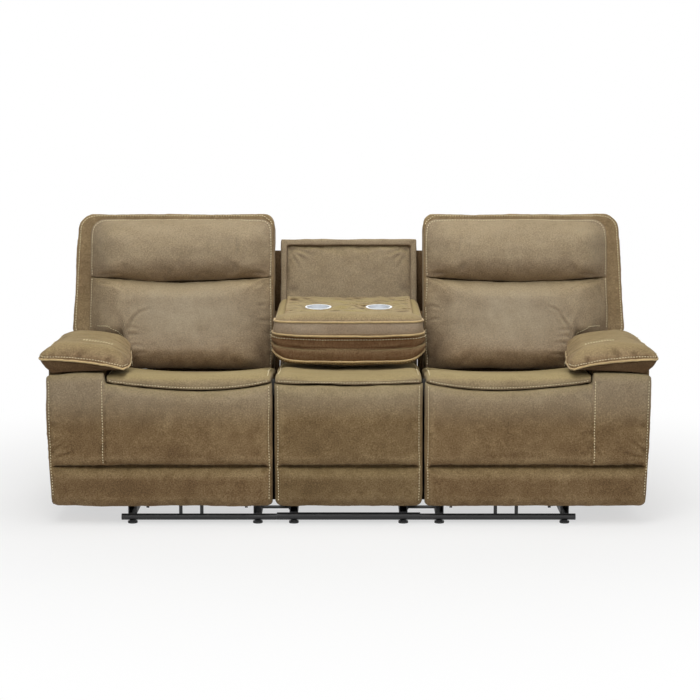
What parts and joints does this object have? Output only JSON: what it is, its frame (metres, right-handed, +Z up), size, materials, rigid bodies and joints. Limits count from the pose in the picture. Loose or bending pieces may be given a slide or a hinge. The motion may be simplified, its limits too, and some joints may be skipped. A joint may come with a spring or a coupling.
{
  "type": "power reclining sofa",
  "caption": "Upholstered sofa with powered reclining end seats, a fixed centre seat and a fold-down centre back that serves as a table with cup holders.",
  "frame": {"origin": "centre of the footprint on the floor", "axes": "+X to the right along the sofa's width seen from the front, the front faces -Y, +Z up"},
  "size_m": [2.12, 0.94, 1.0264],
  "materials": {
    "upholstery": "matte",
    "plywood": "matte",
    "black_steel": "satin",
    "black_plastic": "matte",
    "cup_steel": "polished",
    "zinc_steel": "satin"
  },
  "bodies": {
    "frame": {"left_base_rails": "black_steel", "right_base_rails": "black_steel", "centre_base_frame": "black_steel", "floor_glides": "black_plastic", "left_arm_frame": "plywood", "right_arm_frame": "plywood", "left_arm_cover": "upholstery", "right_arm_cover": "upholstery", "left_arm_pad": "upholstery", "right_arm_pad": "upholstery", "left_switch_plate": "black_plastic", "right_switch_plate": "black_plastic", "centre_seat_frame": "plywood", "centre_seat_cushion": "upholstery", "centre_front_pad": "upholstery", "centre_back_frame": "plywood", "centre_back_panel": "upholstery", "table_hinge_brackets": "black_steel", "power_inlet": "black_plastic"},
    "left_carriage": {"left_side_plates": "black_steel", "left_seat_frame": "plywood", "left_seat_cushion": "upholstery", "left_actuator_body": "black_steel"},
    "left_back": {"left_back_frame": "black_steel", "left_back_cover": "upholstery", "left_lumbar_cushion": "upholstery", "left_head_cushion": "upholstery"},
    "left_lift": {"left_lift_links": "black_steel"},
    "left_reach": {"left_reach_links": "black_steel"},
    "left_lift_guide": {"left_lift_guides": "black_steel"},
    "left_reach_guide": {"left_reach_guides": "black_steel"},
    "left_legrest": {"left_legrest_brackets": "black_steel", "left_legrest_board": "plywood", "left_legrest_pad": "upholstery"},
    "left_drive": {"left_drive_block": "zinc_steel"},
    "left_open_button": {"left_open_button": "black_plastic"},
    "left_close_button": {"left_close_button": "black_plastic"},
    "right_carriage": {"right_side_plates": "black_steel", "right_seat_frame": "plywood", "right_seat_cushion": "upholstery", "right_actuator_body": "black_steel"},
    "right_back": {"right_back_frame": "black_steel", "right_back_cover": "upholstery", "right_lumbar_cushion": "upholstery", "right_head_cushion": "upholstery"},
    "right_lift": {"right_lift_links": "black_steel"},
    "right_reach": {"right_reach_links": "black_steel"},
    "right_lift_guide": {"right_lift_guides": "black_steel"},
    "right_reach_guide": {"right_reach_guides": "black_steel"},
    "right_legrest": {"right_legrest_brackets": "black_steel", "right_legrest_board": "plywood", "right_legrest_pad": "upholstery"},
    "right_drive": {"right_drive_block": "zinc_steel"},
    "right_open_button": {"right_open_button": "black_plastic"},
    "right_close_button": {"right_close_button": "black_plastic"},
    "table": {"table_frame": "black_steel", "table_tray": "upholstery", "table_cushion": "upholstery", "cup_holders": "cup_steel"}
  },
  "joints": [
    {"name": "left_back_recline", "type": "hinge", "parent": "left_carriage", "child": "left_back", "pos_m": [-0.534, 0.17567, 0.42], "axis": [-1, 0, 0], "range_deg": [0, 35]},
    {"name": "left_seat_slide", "type": "slide", "parent": "frame", "child": "left_carriage", "axis": [0, -1, 0], "range_m": [0, 0.06]},
    {"name": "left_legrest_lift", "type": "hinge", "parent": "left_carriage", "child": "left_lift", "pos_m": [-0.534, -0.275, 0.318], "axis": [-1, 0, 0], "range_deg": [0, 90]},
    {"name": "left_reach_turn", "type": "hinge", "parent": "left_lift", "child": "left_reach", "pos_m": [-0.534, -0.32386, 0.08814], "axis": [-1, 0, 0], "range_deg": [-154, 0]},
    {"name": "left_legrest_turn", "type": "hinge", "parent": "left_reach", "child": "left_legrest", "pos_m": [-0.534, -0.38863, 0.31403], "axis": [-1, 0, 0], "range_deg": [0, 154]},
    {"name": "left_lift_guide_turn", "type": "hinge", "parent": "left_carriage", "child": "left_lift_guide", "pos_m": [-0.534, -0.21805, 0.28023], "axis": [-1, 0, 0], "range_deg": [0, 86.53]},
    {"name": "left_reach_guide_turn", "type": "hinge", "parent": "left_lift", "child": "left_reach_guide", "pos_m": [-0.534, -0.33342, 0.04314], "axis": [-1, 0, 0], "range_deg": [-154, 0]},
    {"name": "left_drive_travel", "type": "slide", "parent": "left_carriage", "child": "left_drive", "axis": [0, -1, 0], "range_m": [0, 0.15]},
    {"name": "left_open_button_press", "type": "slide", "parent": "frame", "child": "left_open_button", "axis": [1, 0, 0], "range_m": [0, 0.0018], "stiffness_N_per_m": 600, "springref_m": -0.002},
    {"name": "left_close_button_press", "type": "slide", "parent": "frame", "child": "left_close_button", "axis": [1, 0, 0], "range_m": [0, 0.0018], "stiffness_N_per_m": 600, "springref_m": -0.002},
    {"name": "right_back_recline", "type": "hinge", "parent": "right_carriage", "child": "right_back", "pos_m": [0.534, 0.17567, 0.42], "axis": [-1, 0, 0], "range_deg": [0, 35]},
    {"name": "right_seat_slide", "type": "slide", "parent": "frame", "child": "right_carriage", "axis": [0, -1, 0], "range_m": [0, 0.06]},
    {"name": "right_legrest_lift", "type": "hinge", "parent": "right_carriage", "child": "right_lift", "pos_m": [0.534, -0.275, 0.318], "axis": [-1, 0, 0], "range_deg": [0, 90]},
    {"name": "right_reach_turn", "type": "hinge", "parent": "right_lift", "child": "right_reach", "pos_m": [0.534, -0.32386, 0.08814], "axis": [-1, 0, 0], "range_deg": [-154, 0]},
    {"name": "right_legrest_turn", "type": "hinge", "parent": "right_reach", "child": "right_legrest", "pos_m": [0.534, -0.38863, 0.31403], "axis": [-1, 0, 0], "range_deg": [0, 154]},
    {"name": "right_lift_guide_turn", "type": "hinge", "parent": "right_carriage", "child": "right_lift_guide", "pos_m": [0.534, -0.21805, 0.28023], "axis": [-1, 0, 0], "range_deg": [0, 86.53]},
    {"name": "right_reach_guide_turn", "type": "hinge", "parent": "right_lift", "child": "right_reach_guide", "pos_m": [0.534, -0.33342, 0.04314], "axis": [-1, 0, 0], "range_deg": [-154, 0]},
    {"name": "right_drive_travel", "type": "slide", "parent": "right_carriage", "child": "right_drive", "axis": [0, -1, 0], "range_m": [0, 0.15]},
    {"name": "right_open_button_press", "type": "slide", "parent": "frame", "child": "right_open_button", "axis": [-1, 0, 0], "range_m": [0, 0.0018], "stiffness_N_per_m": 600, "springref_m": -0.002},
    {"name": "right_close_button_press", "type": "slide", "parent": "frame", "child": "right_close_button", "axis": [-1, 0, 0], "range_m": [0, 0.0018], "stiffness_N_per_m": 600, "springref_m": -0.002},
    {"name": "table_fold", "type": "hinge", "parent": "frame", "child": "table", "pos_m": [0, 0.175, 0.6], "axis": [-1, 0, 0], "range_deg": [0, 104]}
  ],
  "couplings": [
    {"joint": "left_seat_slide", "follows": "left_back_recline", "m_per_rad": 0.098},
    {"joint": "left_reach_turn", "follows": "left_legrest_lift", "ratio": -1.7111},
    {"joint": "left_legrest_turn", "follows": "left_legrest_lift", "ratio": 1.7111},
    {"joint": "left_lift_guide_turn", "follows": "left_legrest_lift", "ratio": 0.9614},
    {"joint": "left_reach_guide_turn", "follows": "left_legrest_lift", "ratio": -1.7111},
    {"joint": "left_drive_travel", "follows": "left_legrest_lift", "m_per_rad": 0.0954},
    {"joint": "right_seat_slide", "follows": "right_back_recline", "m_per_rad": 0.098},
    {"joint": "right_reach_turn", "follows": "right_legrest_lift", "ratio": -1.7111},
    {"joint": "right_legrest_turn", "follows": "right_legrest_lift", "ratio": 1.7111},
    {"joint": "right_lift_guide_turn", "follows": "right_legrest_lift", "ratio": 0.9614},
    {"joint": "right_reach_guide_turn", "follows": "right_legrest_lift", "ratio": -1.7111},
    {"joint": "right_drive_travel", "follows": "right_legrest_lift", "m_per_rad": 0.0954}
  ]
}
